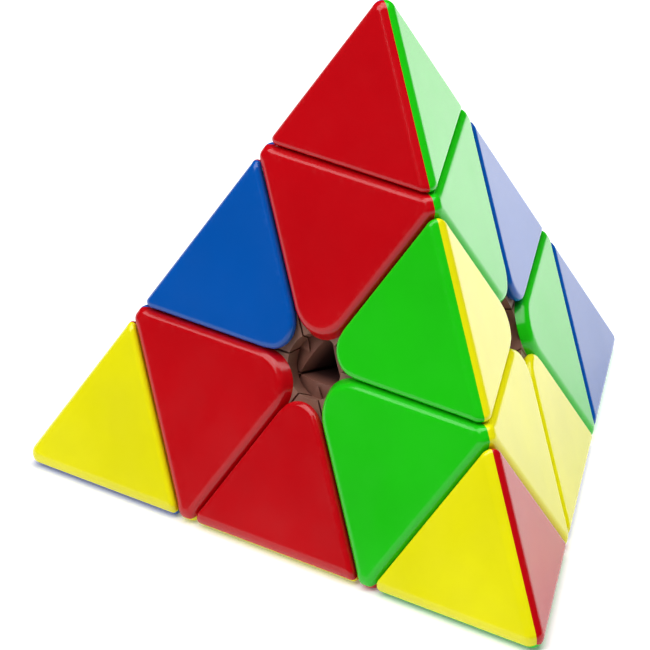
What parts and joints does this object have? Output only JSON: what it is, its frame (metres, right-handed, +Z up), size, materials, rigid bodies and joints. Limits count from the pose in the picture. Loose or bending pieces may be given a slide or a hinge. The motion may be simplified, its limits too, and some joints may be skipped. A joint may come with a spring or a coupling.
{
  "type": "pyramid twisty puzzle",
  "caption": "Stickerless pyramid twisty puzzle with turning corner layers and spinning tips, shown scrambled, in red, green, blue and yellow plastic.",
  "frame": {"origin": "centre of the core, where the four turning axes meet", "axes": "+Z up through the top corner, -Y towards the middle of the front face, +X to the right seen from the front"},
  "size_m": [0.0982, 0.0855, 0.0808],
  "materials": {
    "red_plastic": "smooth glossy moulded ABS, red",
    "green_plastic": "smooth glossy moulded ABS, green",
    "blue_plastic": "smooth glossy moulded ABS, blue",
    "yellow_plastic": "smooth glossy moulded ABS, yellow",
    "white_plastic": "ivory white moulded ABS, satin",
    "steel": "zinc-plated steel"
  },
  "bodies": {
    "core": {"core": "white_plastic", "tension_screws": "steel", "tension_springs": "steel", "spring_washers": "steel"},
    "top_corner": {"top_axial_base": "white_plastic", "top_axial_front_cap": "red_plastic", "top_axial_right_cap": "green_plastic", "top_axial_left_cap": "blue_plastic"},
    "top_tip": {"top_tip_hub": "white_plastic", "top_tip_front_cap": "red_plastic", "top_tip_right_cap": "green_plastic", "top_tip_left_cap": "blue_plastic"},
    "left_corner": {"left_axial_base": "white_plastic", "left_axial_left_cap": "blue_plastic", "left_axial_bottom_cap": "yellow_plastic", "left_axial_front_cap": "red_plastic"},
    "left_tip": {"left_tip_hub": "white_plastic", "left_tip_left_cap": "red_plastic", "left_tip_bottom_cap": "blue_plastic", "left_tip_front_cap": "yellow_plastic"},
    "right_corner": {"right_axial_base": "white_plastic", "right_axial_right_cap": "yellow_plastic", "right_axial_front_cap": "green_plastic", "right_axial_bottom_cap": "red_plastic"},
    "right_tip": {"right_tip_hub": "white_plastic", "right_tip_right_cap": "red_plastic", "right_tip_front_cap": "yellow_plastic", "right_tip_bottom_cap": "green_plastic"},
    "back_corner": {"back_axial_base": "white_plastic", "back_axial_bottom_cap": "yellow_plastic", "back_axial_left_cap": "blue_plastic", "back_axial_right_cap": "green_plastic"},
    "back_tip": {"back_tip_hub": "white_plastic", "back_tip_bottom_cap": "green_plastic", "back_tip_left_cap": "yellow_plastic", "back_tip_right_cap": "blue_plastic"},
    "top_left_edge": {"top_left_edge_foot": "white_plastic", "top_left_edge_front_cap": "blue_plastic", "top_left_edge_left_cap": "red_plastic"},
    "top_right_edge": {"top_right_edge_foot": "white_plastic", "top_right_edge_right_cap": "yellow_plastic", "top_right_edge_front_cap": "green_plastic"},
    "top_back_edge": {"top_back_edge_foot": "white_plastic", "top_back_edge_left_cap": "green_plastic", "top_back_edge_right_cap": "blue_plastic"},
    "left_right_edge": {"left_right_edge_foot": "white_plastic", "left_right_edge_front_cap": "red_plastic", "left_right_edge_bottom_cap": "yellow_plastic"},
    "right_back_edge": {"right_back_edge_foot": "white_plastic", "right_back_edge_right_cap": "yellow_plastic", "right_back_edge_bottom_cap": "blue_plastic"},
    "left_back_edge": {"left_back_edge_foot": "white_plastic", "left_back_edge_bottom_cap": "red_plastic", "left_back_edge_left_cap": "green_plastic"}
  },
  "joints": [
    {"name": "turn_top", "type": "hinge", "parent": "core", "child": "top_corner", "pos_m": [0, 0, 0], "axis": [0, 0, 1], "range_deg": [-240, 120]},
    {"name": "turn_left", "type": "hinge", "parent": "core", "child": "left_corner", "pos_m": [0, 0, 0], "axis": [-0.8165, -0.4714, -0.3333], "range_deg": [-240, 120]},
    {"name": "turn_right", "type": "hinge", "parent": "core", "child": "right_corner", "pos_m": [0, 0, 0], "axis": [0.8165, -0.4714, -0.3333], "range_deg": [-240, 120]},
    {"name": "turn_back", "type": "hinge", "parent": "core", "child": "back_corner", "pos_m": [0, 0, 0], "axis": [0, 0.9428, -0.3333], "range_deg": [-240, 120]},
    {"name": "spin_top_tip", "type": "hinge", "parent": "top_corner", "child": "top_tip", "pos_m": [0, 0, 0], "axis": [0, 0, 1], "continuous": true},
    {"name": "spin_left_tip", "type": "hinge", "parent": "left_corner", "child": "left_tip", "pos_m": [0, 0, 0], "axis": [-0.8165, -0.4714, -0.3333], "continuous": true},
    {"name": "spin_right_tip", "type": "hinge", "parent": "right_corner", "child": "right_tip", "pos_m": [0, 0, 0], "axis": [0.8165, -0.4714, -0.3333], "continuous": true},
    {"name": "spin_back_tip", "type": "hinge", "parent": "back_corner", "child": "back_tip", "pos_m": [0, 0, 0], "axis": [0, 0.9428, -0.3333], "continuous": true},
    {"name": "top_left_edge_with_left", "type": "hinge", "parent": "top_corner", "child": "top_left_edge", "pos_m": [0, 0, 0], "axis": [-0.8165, -0.4714, -0.3333], "range_deg": [-240, 120]},
    {"name": "top_right_edge_with_right", "type": "hinge", "parent": "top_corner", "child": "top_right_edge", "pos_m": [0, 0, 0], "axis": [0.8165, -0.4714, -0.3333], "range_deg": [-240, 120]},
    {"name": "top_back_edge_with_back", "type": "hinge", "parent": "top_corner", "child": "top_back_edge", "pos_m": [0, 0, 0], "axis": [0, 0.9428, -0.3333], "range_deg": [-240, 120]},
    {"name": "left_right_edge_with_right", "type": "hinge", "parent": "left_corner", "child": "left_right_edge", "pos_m": [0, 0, 0], "axis": [0.8165, -0.4714, -0.3333], "range_deg": [-240, 120]},
    {"name": "right_back_edge_with_back", "type": "hinge", "parent": "right_corner", "child": "right_back_edge", "pos_m": [0, 0, 0], "axis": [0, 0.9428, -0.3333], "range_deg": [-240, 120]},
    {"name": "left_back_edge_with_left", "type": "hinge", "parent": "back_corner", "child": "left_back_edge", "pos_m": [0, 0, 0], "axis": [-0.8165, -0.4714, -0.3333], "range_deg": [-240, 120]}
  ],
  "couplings": [
    {"joint": "top_left_edge_with_left", "follows": "turn_left", "ratio": 1},
    {"joint": "top_right_edge_with_right", "follows": "turn_right", "ratio": 1},
    {"joint": "top_back_edge_with_back", "follows": "turn_back", "ratio": 1},
    {"joint": "left_right_edge_with_right", "follows": "turn_right", "ratio": 1},
    {"joint": "right_back_edge_with_back", "follows": "turn_back", "ratio": 1},
    {"joint": "left_back_edge_with_left", "follows": "turn_left", "ratio": 1}
  ]
}
